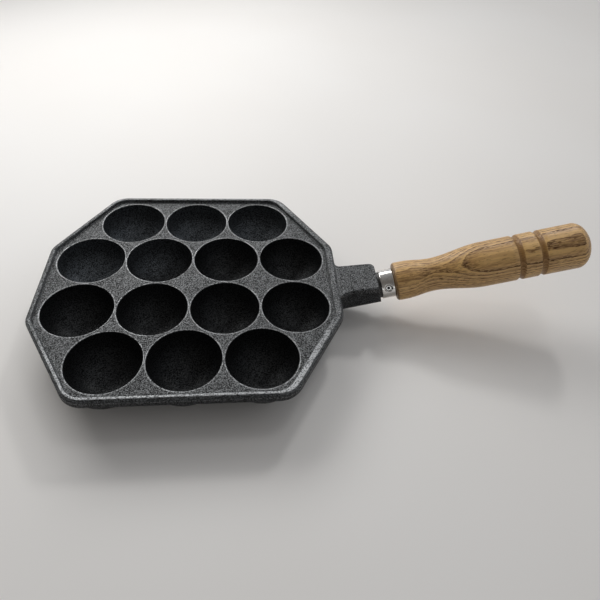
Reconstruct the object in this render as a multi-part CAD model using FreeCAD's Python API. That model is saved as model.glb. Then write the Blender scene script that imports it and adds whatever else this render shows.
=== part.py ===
import FreeCAD, Part
import math
import os

# Takoyaki pan: a cast-iron plate of fourteen round cups with a turned wooden grip.
# Millimetres, +Z up, handle along +X.  The pieces are drawn in the plate's own frame,
# with the web's top at height 0, and moved at the end so that the origin lies on the
# resting plane under the middle of the whole pan.

# ---- Cups ------------------------------------------------------------------------
CUP_MOUTH_RADIUS = 20.3     # inside radius at the web
CUP_DEPTH = 21.5            # web to the inside bottom
CUP_WALL = 4.0              # iron round the cup
CUP_EDGE_ROUND = 0.4        # rounding of the mouth's edge
CUP_WEB = 1.4               # iron between two mouths of one row
ROW_WEB = 2.2               # iron between the mouths of two rows
FOOT_FLAT_RADIUS = 5.0      # flat under each cup
CUP_COLUMNS = 4             # cups in each of the two inner rows

# ---- Plate and rim ---------------------------------------------------------------
WEB_THICKNESS = 4.0
RIM_GAP = 2.6               # web left between a mouth and the rim's foot
RIM_WIDTH = 3.3
RIM_HEIGHT = 2.0            # rim's crest above the web
RIM_OUTER_ROUND = 2.0
RIM_INNER_ROUND = 0.7
RIM_LOWER_ROUND = 1.2
RIM_FOOT_ROUND = 0.5
RIM_CREST_FLAT = 0.3        # least flat left on the crest between its two roundings
CHAMFER_ANGLE = 58.6        # degrees from the long side to the octagon's slanting sides
CHAMFER_GAP = 0.4           # the slanting sides stand this much further out
LONG_CORNER_RADIUS = 11.0   # inside corners of the rim beside the long sides, in plan
END_CORNER_RADIUS = 8.0     # inside corners beside the short sides
HANDLE_SIDE_MARGIN = 1.8    # the rim is this much wider along X on the handle's side

# ---- Boss that carries the handle ------------------------------------------------
HANDLE_PITCH = 15.5         # degrees up from the plate
BOSS_REACH = 26.9           # rim's outside to the boss's end, at the handle's axis
BOSS_DROP = 4.8             # handle's axis below the web, at the boss's end
BOSS_WIDTH = 22.8
BOSS_ABOVE_AXIS = 9.3       # height of the boss's end over the handle's axis
BOSS_BELOW_AXIS = 7.7
BOSS_BELLY_ROUND = 7.0      # lower long edges
BOSS_FRONT_CORNER = 1.5     # end corners, in plan
BOSS_BACK_CORNER = 3.5
BOSS_EDGE_ROUND = 0.8       # upper edges
BOSS_TOP_STEP = 0.6         # the boss's top meets the rim this far below its crest
FRONT_FLARE_RUN = 13.0      # hollow flare from the front flank out to the rim
FRONT_FLARE_SPREAD = 4.0
BACK_FLARE_RUN = 3.0
BACK_FLARE_SPREAD = 3.0
BOSS_FLOOR_CLEARANCE = 3.0  # least height of the boss above the resting plane
BOSS_GUSSET_RUN = 14.0      # the belly runs up to the web over this length

# ---- Handle ----------------------------------------------------------------------
BOLT_DIAMETER = 8.0
BOLT_IN_BOSS = 18.0
BOLT_IN_GRIP = 36.0
BOLT_POINT = 6.0            # tapered tip in the wood
BOLT_CHAMFER = 1.0
BOLT_END_CLEARANCE = 2.0    # hole left beyond each end of the bolt
FERRULE_DIAMETER = 18.4
FERRULE_WALL = 1.0
FERRULE_LENGTH = 9.0
TENON_PROUD = 1.4           # the tenon stands this far out of the ferrule, onto the boss
FERRULE_EDGE_ROUND = 0.6
PIN_DIAMETER = 2.3
PIN_BOLT_CLEARANCE = 0.6    # wood left between the pin and the bolt
PIN_DISH_DIAMETER = 5.0     # dish punched into the ferrule round the pin
PIN_ANGLE = 26.0            # degrees above the horizontal, on the front side
GRIP_LENGTH = 120.8         # outside the ferrule
GRIP_SHOULDER_DIAMETER = 24.4
GRIP_SHOULDER_LENGTH = 6.0  # before the waist begins
GRIP_SHOULDER_ROUND = 2.0
GRIP_WAIST_DIAMETER = 20.9
GRIP_WAIST_AT = 24.5
GRIP_SWELL_DIAMETER = 28.3
GRIP_SWELL_AT = 56.0        # the swell reaches its full size here
GRIP_DOME_LENGTH = 8.5
GROOVE_FIRST_AT = 76.7
GROOVE_SPACING = 13.2
GROOVE_COUNT = 2
GROOVE_WIDTH = 4.0
GROOVE_DEPTH = 1.0

# ---- Construction ----------------------------------------------------------------
OVERCUT = 1.0               # cutting tools run this far past what they cut
NEAR = 1e-5                 # points closer than this are the same


# ---- Values worked out from the dimensions ---------------------------------------
cup_pitch = 2 * CUP_MOUTH_RADIUS + CUP_WEB
row_distance = 2 * CUP_MOUTH_RADIUS + ROW_WEB
row_step = math.sqrt(row_distance ** 2 - (cup_pitch / 2) ** 2)
inner_row_y = cup_pitch / 2
outer_row_y = inner_row_y + row_step
inner_row_end_x = (CUP_COLUMNS - 1) * cup_pitch / 2
outer_row_end_x = (CUP_COLUMNS - 2) * cup_pitch / 2

# A cup deeper than its mouth's radius is a half sphere under a straight wall; a shallower
# one is a cap of a larger sphere, whose centre stands above the web.
if CUP_DEPTH >= CUP_MOUTH_RADIUS:
    cup_radius = CUP_MOUTH_RADIUS
else:
    cup_radius = (CUP_MOUTH_RADIUS ** 2 + CUP_DEPTH ** 2) / (2 * CUP_DEPTH)
cup_centre_z = cup_radius - CUP_DEPTH
cup_overhang = max(cup_centre_z + CUP_EDGE_ROUND, 0)
cup_outer_radius = cup_radius + CUP_WALL
foot_z = cup_centre_z - math.sqrt(cup_outer_radius ** 2 - FOOT_FLAT_RADIUS ** 2)

rim_foot_offset = CUP_MOUTH_RADIUS + RIM_GAP
rim_offset = rim_foot_offset + RIM_WIDTH
rim_handle_x = inner_row_end_x + rim_offset + HANDLE_SIDE_MARGIN
rim_outer_round = min(RIM_OUTER_ROUND, RIM_WIDTH - RIM_INNER_ROUND - RIM_CREST_FLAT)

pitch = math.radians(HANDLE_PITCH)
boss_end_x = rim_handle_x + BOSS_REACH
boss_end_z = -BOSS_DROP
grip_start = TENON_PROUD + FERRULE_LENGTH
ferrule_inner_radius = FERRULE_DIAMETER / 2 - FERRULE_WALL


def vec(x, y, z):
    """Return a FreeCAD vector."""
    return FreeCAD.Vector(x, y, z)


def line(a, b):
    """Return a straight edge."""
    return Part.LineSegment(a, b).toShape()


def arc(a, middle, b):
    """Return the edge of the arc through three points."""
    return Part.Arc(a, middle, b).toShape()


def spin(edges, axis=vec(0, 0, 1)):
    """Return the solid made by turning a closed outline about an axis at the origin."""
    face = Part.Face(Part.Wire(edges))
    return face.revolve(vec(0, 0, 0), axis, 360)


# ---- Plate -----------------------------------------------------------------------
def cup_centres():
    """Return the centres of all the cups, row by row, as (x, y)."""
    centres = []
    for y, count in ((-outer_row_y, CUP_COLUMNS - 1), (-inner_row_y, CUP_COLUMNS),
                     (inner_row_y, CUP_COLUMNS), (outer_row_y, CUP_COLUMNS - 1)):
        first_x = -(count - 1) * cup_pitch / 2
        centres += [(first_x + i * cup_pitch, y) for i in range(count)]
    return centres


def octagon(offset, margin):
    """Return the octagon's corners and radii, at an offset from the cups' centres."""
    slant = math.radians(CHAMFER_ANGLE)
    middle_x = (inner_row_end_x + outer_row_end_x) / 2
    middle_y = (inner_row_y + outer_row_y) / 2
    reach = middle_x * math.sin(slant) + middle_y * math.cos(slant) + offset + CHAMFER_GAP
    end_x = inner_row_end_x + offset
    side_y = outer_row_y + offset
    end_y = (reach - end_x * math.sin(slant)) / math.cos(slant)
    side_x = (reach - side_y * math.cos(slant)) / math.sin(slant)
    grown = offset - rim_foot_offset
    end_radius = END_CORNER_RADIUS + grown
    side_radius = LONG_CORNER_RADIUS + grown
    handle_end = end_x + margin
    handle_side = side_x + margin
    corners = [vec(handle_end, end_y, 0), vec(handle_side, side_y, 0), vec(-side_x, side_y, 0),
               vec(-end_x, end_y, 0), vec(-end_x, -end_y, 0), vec(-side_x, -side_y, 0),
               vec(handle_side, -side_y, 0), vec(handle_end, -end_y, 0)]
    radii = [end_radius, side_radius, side_radius, end_radius] * 2
    return corners, radii


def rounded_wire(corners, radii):
    """Return the closed outline through the corners, each rounded to its radius."""
    rounds = []
    for i, here in enumerate(corners):
        before = (corners[i - 1] - here).normalize()
        after = (corners[(i + 1) % len(corners)] - here).normalize()
        half = before.getAngle(after) / 2
        bisector = (before + after).normalize()
        reach = radii[i] / math.tan(half)
        middle = here + bisector * (radii[i] / math.sin(half) - radii[i])
        rounds.append((here + before * reach, middle, here + after * reach))
    edges = []
    for i, (start, middle, end) in enumerate(rounds):
        edges.append(line(rounds[i - 1][2], start))
        edges.append(arc(start, middle, end))
    return Part.Wire(edges)


def rim_outline(z):
    """Return the plate's outer outline at a height."""
    wire = rounded_wire(*octagon(rim_offset, HANDLE_SIDE_MARGIN))
    wire.translate(vec(0, 0, z))
    return wire


def foot_outline(z):
    """Return the outline of the rim's foot, round the web, at a height."""
    wire = rounded_wire(*octagon(rim_foot_offset, 0))
    wire.translate(vec(0, 0, z))
    return wire


def edges_on(shape, curve):
    """Return the edges of a shape whose middles lie on a curve."""
    found = []
    for edge in shape.Edges:
        middle = edge.valueAt((edge.FirstParameter + edge.LastParameter) / 2)
        if Part.Vertex(middle).distToShape(curve)[0] < NEAR:
            found.append(edge)
    return found


def rimmed_plate():
    """Return the web with its raised, rounded rim, before the cups."""
    plate = Part.Face(rim_outline(-WEB_THICKNESS)).extrude(vec(0, 0, WEB_THICKNESS + RIM_HEIGHT))
    plate = plate.makeFillet(rim_outer_round, edges_on(plate, rim_outline(RIM_HEIGHT)))
    plate = plate.makeFillet(RIM_LOWER_ROUND, edges_on(plate, rim_outline(-WEB_THICKNESS)))
    pocket = Part.Face(foot_outline(0)).extrude(vec(0, 0, RIM_HEIGHT + OVERCUT))
    pocket = pocket.makeFillet(RIM_FOOT_ROUND, edges_on(pocket, foot_outline(0)))
    plate = plate.cut(pocket)
    return plate.makeFillet(RIM_INNER_ROUND, edges_on(plate, foot_outline(RIM_HEIGHT)))


def round_edge(centre_z, start, end):
    """Return the arc between two points of a circle centred on the Z axis."""
    centre = vec(0, 0, centre_z)
    radius = start.distanceToPoint(centre)
    middle = centre + (start + end - centre * 2).normalize() * radius
    return arc(start, middle, end)


def cup_side(top, waist, bottom):
    """Return the edges down a cup's wall and round its bottom."""
    straight = [line(top, waist)] if top.z - waist.z > NEAR else []
    return straight + [round_edge(cup_centre_z, waist, bottom)]


def cup_shell():
    """Return the outer body of one cup about the Z axis, flat underneath."""
    side = math.sqrt(cup_outer_radius ** 2 - cup_overhang ** 2)
    top = vec(0, 0, -CUP_EDGE_ROUND)
    shoulder = vec(side, 0, top.z)
    waist = vec(side, 0, min(cup_centre_z, top.z))
    flat = vec(FOOT_FLAT_RADIUS, 0, foot_z)
    foot = vec(0, 0, foot_z)
    wall = cup_side(shoulder, waist, flat)
    return spin([line(top, shoulder)] + wall + [line(flat, foot), line(foot, top)])


def cup_hollow():
    """Return the tool that cuts one cup's inside, with the rounded mouth."""
    e = CUP_EDGE_ROUND
    reach = cup_radius + e
    lip = vec(math.sqrt(reach ** 2 - cup_overhang ** 2), 0, 0)
    lip_centre = lip - vec(0, 0, e)
    throat = vec(lip.x * cup_radius / reach, 0, cup_overhang * e / reach - e)
    lip_middle = lip_centre + (lip + throat - lip_centre * 2).normalize() * e
    waist = vec(throat.x, 0, min(cup_centre_z, throat.z))
    pole = vec(0, 0, -CUP_DEPTH)
    above = vec(0, 0, OVERCUT)
    brim = vec(lip.x, 0, OVERCUT)
    mouth = [line(above, brim), line(brim, lip), arc(lip, lip_middle, throat)]
    return spin(mouth + cup_side(throat, waist, pole) + [line(pole, above)])


# ---- Boss ------------------------------------------------------------------------
def on_axis(distance, across=0.0):
    """Return the point at a distance along the handle's axis and above it."""
    x = boss_end_x + distance * math.cos(pitch) - across * math.sin(pitch)
    z = boss_end_z + distance * math.sin(pitch) + across * math.cos(pitch)
    return vec(x, 0, z)


def boss_side(half, lift):
    """Return the boss's side outline as a prism of a half width, its belly lifted."""
    rim_middle_x = rim_handle_x - RIM_WIDTH / 2
    web_middle_z = -WEB_THICKNESS / 2
    root_bottom = on_axis(-BOSS_REACH / math.cos(pitch), lift - BOSS_BELOW_AXIS)
    root_bottom.z = max(root_bottom.z, foot_z + BOSS_FLOOR_CLEARANCE)
    gusset = vec(rim_handle_x - BOSS_GUSSET_RUN, 0, web_middle_z)
    points = [boss_root_top(), on_axis(0, BOSS_ABOVE_AXIS), on_axis(0, lift - BOSS_BELOW_AXIS),
              root_bottom, gusset, vec(rim_middle_x, 0, web_middle_z)]
    points = [p - vec(0, half, 0) for p in points]
    face = Part.Face(Part.makePolygon(points + points[:1]))
    return face.extrude(vec(0, 2 * half, 0))


def boss_root_top():
    """Return the point inside the rim where the boss's top begins."""
    return vec(rim_handle_x - RIM_WIDTH / 2, 0, RIM_HEIGHT - BOSS_TOP_STEP)


def boss_bar():
    """Return the straight bar of the boss: rounded end corners and a rounded belly."""
    half = BOSS_WIDTH / 2
    length = 2 * (BOSS_REACH + BOSS_GUSSET_RUN)
    height = 2 * (BOSS_ABOVE_AXIS + BOSS_REACH)
    plan = rounded_wire([vec(0, -half, 0), vec(0, half, 0), vec(-length, half, 0), vec(-length, -half, 0)],
                        [BOSS_FRONT_CORNER, BOSS_BACK_CORNER, BOSS_BACK_CORNER, BOSS_FRONT_CORNER])
    plan = Part.Face(plan).extrude(vec(0, 0, 2 * height))
    plan.translate(vec(0, 0, -height))
    section = rounded_wire([vec(-half, -BOSS_BELOW_AXIS, 0), vec(half, -BOSS_BELOW_AXIS, 0),
                            vec(half, height, 0), vec(-half, height, 0)], [BOSS_BELLY_ROUND] * 4)
    section = Part.Face(section).extrude(vec(0, 0, length))
    section.rotate(vec(0, 0, 0), vec(1, 1, 1), 120)
    section.translate(vec(-length, 0, 0))
    return placed(plan.common(section))


def root_flare(side, run, spread):
    """Return the hollow flare between a flank of the boss (side -1 front, 1 back) and the rim."""
    radius = (run ** 2 + spread ** 2) / (2 * spread)
    flank = side * BOSS_WIDTH / 2
    half_turn = math.asin(run / radius) / 2
    rim_end = vec(rim_handle_x, flank + side * spread, 0)
    flank_end = vec(rim_handle_x + run, flank, 0)
    middle = flank_end + vec(-radius * math.sin(half_turn), side * radius * (1 - math.cos(half_turn)), 0)
    inside = rim_handle_x - RIM_WIDTH / 2
    inner = flank - side * spread / 2
    path = [flank_end, vec(flank_end.x, inner, 0), vec(inside, inner, 0), vec(inside, rim_end.y, 0),
            rim_end]
    edges = [arc(rim_end, middle, flank_end)] + [line(a, b) for a, b in zip(path, path[1:])]
    prism = Part.Face(Part.Wire(edges)).extrude(vec(0, 0, RIM_HEIGHT + BOSS_REACH - foot_z))
    prism.translate(vec(0, 0, foot_z))
    return prism.common(boss_side(BOSS_WIDTH / 2 + spread, BOSS_BELLY_ROUND))


def top_face(half):
    """Return the plane of the boss's top, outside the rim, as a face of a half width."""
    end = on_axis(0, BOSS_ABOVE_AXIS)
    run = end - boss_root_top()
    start = end - run * ((end.x - rim_handle_x) / run.x)
    across = vec(0, half, 0)
    return Part.Face(Part.makePolygon([start - across, start + across, end + across, end - across,
                                       start - across]))


def boss():
    """Return the cast boss with its flares and its rounded upper edges."""
    half = BOSS_WIDTH / 2
    body = boss_bar().common(boss_side(half, 0))
    front = root_flare(-1, FRONT_FLARE_RUN, FRONT_FLARE_SPREAD)
    back = root_flare(1, BACK_FLARE_RUN, BACK_FLARE_SPREAD)
    body = body.fuse([front, back]).removeSplitter()
    brim = top_face(half + FRONT_FLARE_SPREAD + BACK_FLARE_SPREAD)
    return body.makeFillet(BOSS_EDGE_ROUND, edges_on(body, brim))


def casting():
    """Return the plate, cups, rim and boss as the one iron casting."""
    shell = cup_shell()
    hollow = cup_hollow()
    shells = []
    hollows = []
    for x, y in cup_centres():
        shells.append(shell.translated(vec(x, y, 0)))
        hollows.append(hollow.translated(vec(x, y, 0)))
    body = rimmed_plate().multiFuse(shells + [boss()])
    body = body.cut(Part.makeCompound(hollows))
    body = body.cut(placed(bolt_hole(-BOLT_IN_BOSS - BOLT_END_CLEARANCE, OVERCUT)))
    return body.removeSplitter()


# ---- Handle, drawn along +X from the boss's end ----------------------------------
def placed(shape):
    """Return a handle piece moved from its own axis to its place on the boss."""
    shape = shape.copy()
    shape.rotate(vec(0, 0, 0), vec(0, 1, 0), -HANDLE_PITCH)
    shape.translate(vec(boss_end_x, 0, boss_end_z))
    return shape


def bolt_hole(start, end):
    """Return the plain hole for the hanger bolt between two places on the axis."""
    return Part.makeCylinder(BOLT_DIAMETER / 2, end - start, vec(start, 0, 0), vec(1, 0, 0))


def hanger_bolt():
    """Return the bolt: machine thread in the boss, tapered wood thread in the grip."""
    r = BOLT_DIAMETER / 2
    tail = -BOLT_IN_BOSS
    tip = BOLT_IN_GRIP
    outline = [vec(tail, 0, 0), vec(tail, 0, r - BOLT_CHAMFER), vec(tail + BOLT_CHAMFER, 0, r),
               vec(tip - BOLT_POINT, 0, r), vec(tip, 0, 0)]
    face = Part.Face(Part.makePolygon(outline + outline[:1]))
    return face.revolve(vec(0, 0, 0), vec(1, 0, 0), 360)


def ferrule():
    """Return the plated sleeve on the grip's tenon, with its punched dish."""
    along = vec(1, 0, 0)
    sleeve = Part.makeCylinder(FERRULE_DIAMETER / 2, FERRULE_LENGTH, vec(TENON_PROUD, 0, 0), along)
    rims = [e for e in sleeve.Edges if e.BoundBox.XLength < NEAR]
    sleeve = sleeve.makeFillet(FERRULE_EDGE_ROUND, rims)
    bore = Part.makeCylinder(ferrule_inner_radius, FERRULE_LENGTH, vec(TENON_PROUD, 0, 0), along)
    return sleeve.cut([bore, pin_dish(), ferrule_pin()])


def pin_direction():
    """Return the outward direction of the pin, square to the axis."""
    angle = math.radians(PIN_ANGLE)
    return vec(0, -math.cos(angle), math.sin(angle))


def pin_foot(radius):
    """Return the point on the pin's axis at a radius from the handle's axis."""
    return vec(TENON_PROUD + FERRULE_LENGTH / 2, 0, 0) + pin_direction() * radius


def pin_dish():
    """Return the conical tool that opens the ferrule round the pin."""
    flare = (PIN_DISH_DIAMETER - PIN_DIAMETER) / 2 / FERRULE_WALL
    height = FERRULE_WALL + OVERCUT
    return Part.makeCone(PIN_DIAMETER / 2, PIN_DIAMETER / 2 + height * flare, height,
                         pin_foot(ferrule_inner_radius), pin_direction())


def ferrule_pin():
    """Return the small nail that holds the ferrule to the tenon."""
    foot = BOLT_DIAMETER / 2 + PIN_BOLT_CLEARANCE
    return Part.makeCylinder(PIN_DIAMETER / 2, ferrule_inner_radius - foot, pin_foot(foot), pin_direction())


def grip_profile():
    """Return the outer edges of the grip, from its shoulder to the dome's pole."""
    start = grip_start
    end = start + GRIP_LENGTH
    shoulder = GRIP_SHOULDER_DIAMETER / 2
    swell = GRIP_SWELL_DIAMETER / 2
    waist = GRIP_WAIST_DIAMETER / 2
    slope = math.sqrt(0.5)
    edge = GRIP_SHOULDER_ROUND
    face_top = vec(start, 0, shoulder - edge)
    edge_middle = vec(start + edge - edge * slope, 0, shoulder - edge + edge * slope)
    edge_end = vec(start + edge, 0, shoulder)
    collar_end = vec(start + GRIP_SHOULDER_LENGTH, 0, shoulder)
    swell_start = vec(start + GRIP_SWELL_AT, 0, swell)
    dome_start = vec(end - GRIP_DOME_LENGTH, 0, swell)
    curve = Part.BSplineCurve()
    curve.interpolate(Points=[collar_end, vec(start + GRIP_WAIST_AT, 0, waist), swell_start],
                      Tangents=[vec(1, 0, 0), vec(1, 0, 0), vec(1, 0, 0)],
                      TangentFlags=[True, True, True])
    dome = dome_edge(dome_start, vec(end, 0, 0))
    return [arc(face_top, edge_middle, edge_end), line(edge_end, collar_end), curve.toShape(),
            line(swell_start, dome_start), dome]


def dome_edge(rim, pole):
    """Return the quarter ellipse from the dome's rim to its pole on the axis."""
    quarter = Part.BezierCurve()
    quarter.setPoles([rim, vec(pole.x, 0, rim.z), pole])
    quarter.setWeight(2, math.sqrt(0.5))
    return quarter.toShape()


def groove(position):
    """Return the ring that cuts one turned groove into the grip."""
    surface = GRIP_SWELL_DIAMETER / 2
    half = GROOVE_WIDTH / 2
    radius = (half ** 2 + GROOVE_DEPTH ** 2) / (2 * GROOVE_DEPTH)
    centre = vec(grip_start + position, 0, surface - GROOVE_DEPTH + radius)
    ring = Part.makeTorus(centre.z, radius, vec(centre.x, 0, 0), vec(1, 0, 0))
    return ring


def wooden_grip():
    """Return the turned grip with its tenon, bolt bore and grooves."""
    start = grip_start
    end = start + GRIP_LENGTH
    tenon = ferrule_inner_radius
    profile = grip_profile()
    edges = [line(vec(0, 0, 0), vec(0, 0, tenon)), line(vec(0, 0, tenon), vec(start, 0, tenon)),
             line(vec(start, 0, tenon), profile[0].valueAt(profile[0].FirstParameter))]
    edges += profile
    edges.append(line(vec(end, 0, 0), vec(0, 0, 0)))
    body = spin(edges, vec(1, 0, 0))
    for i in range(GROOVE_COUNT):
        body = body.cut(groove(GROOVE_FIRST_AT + i * GROOVE_SPACING))
    body = body.cut(bolt_hole(-OVERCUT, BOLT_IN_GRIP + BOLT_END_CLEARANCE))
    return body.cut(ferrule_pin())


# ---- Whole pan -------------------------------------------------------------------
def main():
    """Build every piece, set the origin and write the STEP files."""
    shapes = {
        "plate_casting": casting(),
        "hanger_bolt": placed(hanger_bolt()),
        "ferrule": placed(ferrule()),
        "ferrule_pin": placed(ferrule_pin()),
        "wooden_grip": placed(wooden_grip()),
    }
    box = Part.makeCompound(list(shapes.values())).optimalBoundingBox(False, False)
    shift = vec(-box.Center.x, -box.Center.y, -foot_z)
    os.makedirs("parts", exist_ok=True)
    for name, shape in shapes.items():
        shape = shape.translated(shift)
        solid = shape.Solids[0]
        solid.exportStep("parts/" + name + ".step")
        size = solid.optimalBoundingBox(False, False)
        print(name, "solids", len(shape.Solids), "valid", solid.isValid(),
              "volume %.0f" % solid.Volume,
              "x %.2f..%.2f y %.2f..%.2f z %.2f..%.2f" % (size.XMin, size.XMax, size.YMin, size.YMax,
                                                         size.ZMin, size.ZMax))
    print("shift from the plate's frame: %.3f %.3f %.3f" % tuple(shift))


main()
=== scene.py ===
"""Takoyaki pan: a cast-iron plate of round batter cups with a turned ash handle.

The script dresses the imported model.  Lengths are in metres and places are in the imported
model's frame: the origin lies on the resting plane under the middle of the pan, +X runs
towards the handle and +Z is up.  Handle pieces are drawn along +X from the boss's end and
then turned onto the handle's own axis.
"""

import logging
import math
from dataclasses import dataclass, field
from enum import Enum
from functools import reduce

import bmesh
import bpy
from mathutils import Euler, Matrix, Vector


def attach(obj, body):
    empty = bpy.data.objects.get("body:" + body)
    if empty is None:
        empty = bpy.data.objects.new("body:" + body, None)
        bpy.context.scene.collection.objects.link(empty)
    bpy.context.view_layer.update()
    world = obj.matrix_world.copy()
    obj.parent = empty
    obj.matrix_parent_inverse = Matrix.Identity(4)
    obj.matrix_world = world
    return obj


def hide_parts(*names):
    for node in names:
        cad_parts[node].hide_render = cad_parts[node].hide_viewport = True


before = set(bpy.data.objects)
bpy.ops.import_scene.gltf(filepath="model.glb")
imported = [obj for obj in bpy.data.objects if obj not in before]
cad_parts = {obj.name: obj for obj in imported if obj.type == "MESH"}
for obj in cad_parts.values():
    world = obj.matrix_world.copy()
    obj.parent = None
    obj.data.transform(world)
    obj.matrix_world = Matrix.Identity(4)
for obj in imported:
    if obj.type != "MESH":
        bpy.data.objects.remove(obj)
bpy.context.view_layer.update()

log = logging.getLogger("takoyaki_pan")

MM = 0.001
BODY = "root"

Colour = tuple[float, ...]
Range = tuple[float, float]
Point = tuple[float, float]
Outline = list[Point]
Material = bpy.types.Material
Socket = bpy.types.NodeSocket
Input = float | tuple[float, ...] | Vector | Euler | Socket


class Slot(Enum):
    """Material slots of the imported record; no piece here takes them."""

    PLATED_STEEL = "plated_steel"
    PIN_STEEL = "pin_steel"
    WOOD = "wood"


# ---- The pan's own geometry, shared by meshes and finishes ----
@dataclass(frozen=True)
class PlateLayout:
    """Where the web, the cups and the rim lie."""

    middle_x: float = -77.98 * MM
    web_top: float = 24.98 * MM
    cup_pitch: float = 42.0 * MM
    inner_row: float = 21.0 * MM
    inner_cups: int = 4
    outer_row: float = 58.294 * MM
    outer_cups: int = 3
    mouth_radius: float = 20.3 * MM
    cup_depth: float = 21.5 * MM
    rim_height: float = 2.0 * MM
    boss_start: float = 13.02 * MM

    @property
    def cup_centre_z(self) -> float:
        """Height of the centre of each cup's round bottom."""
        return self.web_top - self.cup_depth + self.mouth_radius


@dataclass(frozen=True)
class HandleLayout:
    """The handle's axis and the sizes that its pieces share."""

    start: Vector = field(default_factory=lambda: Vector((39.92, 0.0, 20.18)) * MM)
    pitch: float = math.radians(15.5)
    bolt_radius: float = 4.0 * MM
    bolt_bore_end: float = 38.0 * MM
    tenon_proud: float = 1.4 * MM
    ferrule_length: float = 9.0 * MM
    ferrule_radius: float = 9.2 * MM
    ferrule_wall: float = 1.0 * MM
    pin_angle: float = math.radians(26.0)

    @property
    def grip_start(self) -> float:
        """Distance from the boss's end to the grip's shoulder."""
        return self.tenon_proud + self.ferrule_length

    @property
    def pin_along(self) -> float:
        """Distance from the boss's end to the pin, in the middle of the sleeve."""
        return self.tenon_proud + self.ferrule_length / 2

    @property
    def placing(self) -> Matrix:
        """Matrix that turns handle coordinates into the model's frame."""
        return Matrix.Translation(self.start) @ Matrix.Rotation(-self.pitch, 4, "Y")

    @property
    def pin_placing(self) -> Matrix:
        """Matrix that stands a piece drawn along +Z on the pin's axis."""
        lean = Matrix.Rotation(math.pi / 2 - self.pin_angle, 4, "X")
        return self.placing @ Matrix.Translation((self.pin_along, 0, 0)) @ lean


# ---- Small mesh tools ----
def arc_points(centre: Point, radius: float, start: float, end: float, steps: int) -> Outline:
    """Sample an arc.

    Args:
        centre: The arc's centre, as (along, radius).
        radius: The arc's own radius.
        start: Angle of the first point, in degrees.
        end: Angle of the last point, in degrees.
        steps: How many pieces the arc is cut into.

    Returns:
        The points from start to end, both included.
    """
    angles = [math.radians(start + (end - start) * i / steps) for i in range(steps + 1)]
    return [(centre[0] + radius * math.cos(a), centre[1] + radius * math.sin(a)) for a in angles]


def run(start: Point, end: Point, steps: int, eased: bool = False) -> Outline:
    """Join two points.

    Args:
        start: First point, as (along, radius).
        end: Last point.
        steps: How many pieces the line is cut into.
        eased: Whether it leaves and arrives along the axis, and isn't straight.

    Returns:
        The points after the first one.
    """
    points = []
    for i in range(1, steps + 1):
        t = i / steps
        rise = t * t * (3 - 2 * t) if eased else t
        points.append((start[0] + (end[0] - start[0]) * t, start[1] + (end[1] - start[1]) * rise))
    return points


def spin_outline(outline: Outline, steps: int, closed: bool = False) -> bmesh.types.BMesh:
    """Turn an outline about the X axis.

    Args:
        outline: Points as (along, radius).
        steps: How many parts the full turn has.
        closed: Whether the last point joins the first, as in a ring.

    Returns:
        The turned surface, with its poles and seam merged and its faces outwards.
    """
    bm = bmesh.new()
    verts = [bm.verts.new((along, 0.0, radius)) for along, radius in outline]
    edges = [bm.edges.new(pair) for pair in zip(verts, verts[1:])]
    if closed:
        edges.append(bm.edges.new((verts[-1], verts[0])))
    bmesh.ops.spin(bm, geom=verts + edges, cent=(0, 0, 0), axis=(1, 0, 0), angle=math.tau,
                   steps=steps, use_merge=True)
    bmesh.ops.remove_doubles(bm, verts=bm.verts, dist=0.001 * MM)
    bmesh.ops.recalc_face_normals(bm, faces=bm.faces)
    return bm


def finish_piece(bm: bmesh.types.BMesh, name: str, placing: Matrix,
                 sharp: float = 40.0) -> bpy.types.Object:
    """Move a mesh to its place and make it a smooth-shaded object.

    Args:
        bm: The mesh, which is freed.
        name: The piece's name.
        placing: Matrix that puts the mesh in the model's frame.
        sharp: Edges bent by more than this many degrees stay sharp.

    Returns:
        The object, at the origin, with its place in its mesh.
    """
    bmesh.ops.transform(bm, matrix=placing, verts=bm.verts)
    mesh = bpy.data.meshes.new(name)
    bm.to_mesh(mesh)
    bm.free()
    mesh.shade_smooth()
    mesh.set_sharp_from_angle(angle=math.radians(sharp))
    piece = bpy.data.objects.new(name, mesh)
    bpy.context.scene.collection.objects.link(piece)
    return piece


def dress(piece: bpy.types.Object, material: Material) -> None:
    """Give a piece one material in place of all it has."""
    piece.data.materials.clear()
    piece.data.materials.append(material)


def dress_node(name: str, material: Material) -> None:
    """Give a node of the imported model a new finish, and report it."""
    dress(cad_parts[name], material)
    log.info("%s: dressed", name)


def add_piece(piece: bpy.types.Object, material: Material, node: str) -> None:
    """Dress a new piece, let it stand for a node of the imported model, and report it.

    Args:
        piece: The new piece.
        material: Its finish.
        node: The node that it replaces.
    """
    dress(piece, material)
    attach(piece, BODY)
    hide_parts(node)
    log.info("%s: %d faces, stands for %s", piece.name, len(piece.data.polygons), node)


# ---- Small shader tools ----
@dataclass(frozen=True)
class Ramp:
    """A smooth change of level while a value goes from start to end, held before and after."""

    start: float
    end: float
    before: float = 0.0
    after: float = 1.0

    def moved(self, base: float, unit: float = 1.0) -> "Ramp":
        """Return the same change counted from a base, in some unit."""
        return Ramp(base + self.start * unit, base + self.end * unit, self.before, self.after)


@dataclass(frozen=True)
class Pattern:
    """Noise: the size of its lumps, how many finer layers it has and how strong they are.

    A squeeze of less than 1 draws it out along that axis.
    """

    size: float
    detail: float = 2.0
    roughness: float = 0.5
    squeeze: tuple[float, float, float] | None = None


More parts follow.
